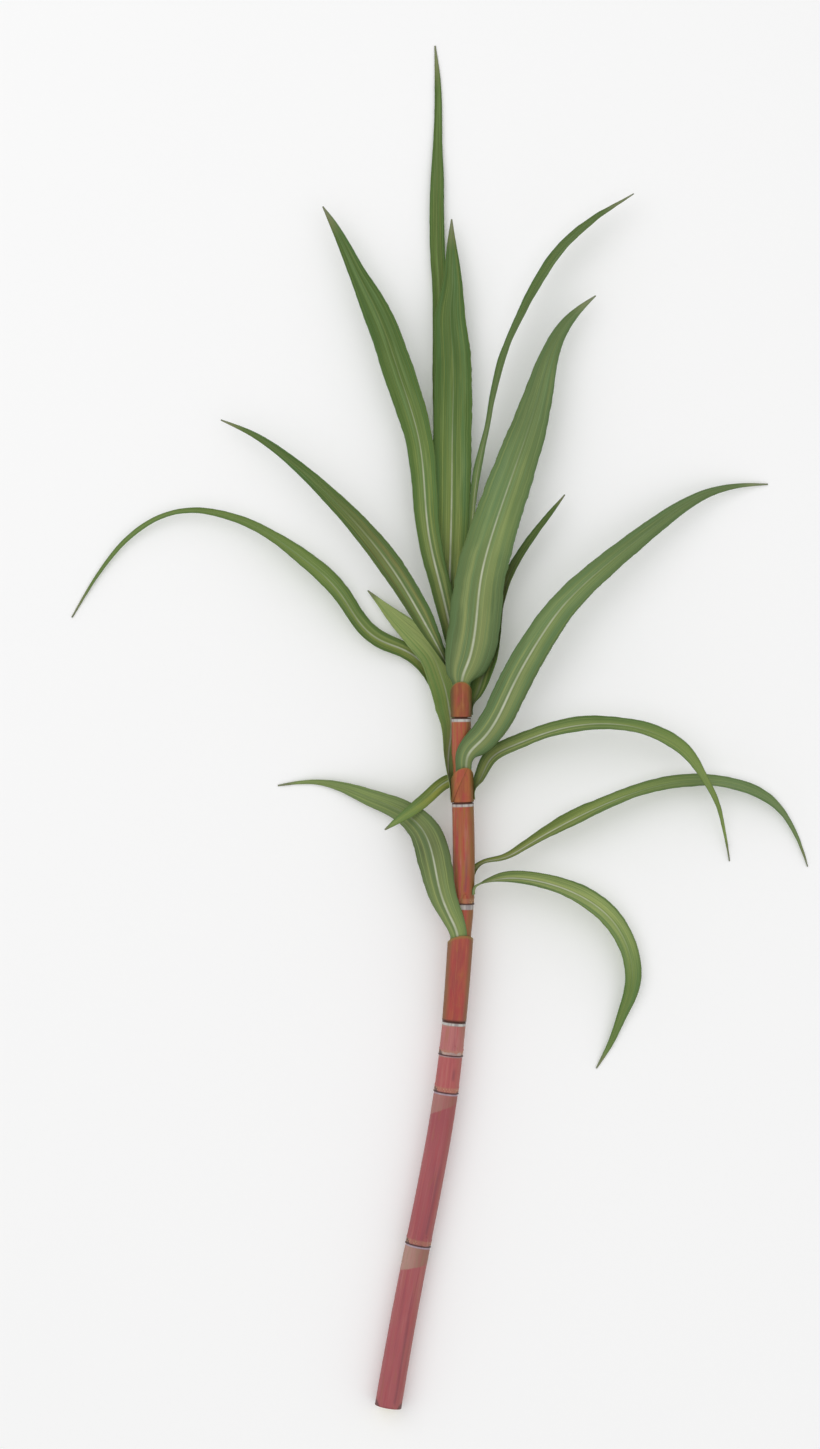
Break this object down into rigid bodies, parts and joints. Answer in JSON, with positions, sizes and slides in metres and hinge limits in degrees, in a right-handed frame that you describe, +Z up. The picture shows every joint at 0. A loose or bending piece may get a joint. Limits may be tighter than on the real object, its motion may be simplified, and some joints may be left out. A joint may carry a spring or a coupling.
{
  "type": "sugarcane stalk",
  "caption": "Cut stalk of red sugarcane lying on its side, a jointed cane with leaf sheaths and long arching green blades that fan out from the crown.",
  "frame": {"origin": "on the surface that the stalk lies on, below the middle of its box", "axes": "+Y from the cut butt to the tip of the tallest leaf, +Z up from the surface, +X to the right seen from above with the tip away"},
  "size_m": [1.0741, 1.9833, 0.0689],
  "materials": {
    "cane": "satin",
    "sheath": "satin",
    "leaf": "satin",
    "young_leaf": "satin"
  },
  "bodies": {
    "root": {"culm": "cane", "sheath_crown": "sheath", "sheath_lower": "sheath", "sheath_upper": "sheath", "spindle": "young_leaf", "blade_front": "leaf", "blade_left_arch": "leaf", "blade_left_broad": "leaf", "blade_left_down": "leaf", "blade_left_front": "leaf", "blade_left_low": "leaf", "blade_left_upright": "leaf", "blade_long_arch": "leaf", "blade_low_arch": "leaf", "blade_right_broad": "leaf", "blade_short_dark": "leaf", "blade_tallest": "leaf", "blade_thin_arch": "leaf", "blade_upper_arch": "leaf", "blade_upright": "leaf"}
  },
  "joints": []
}
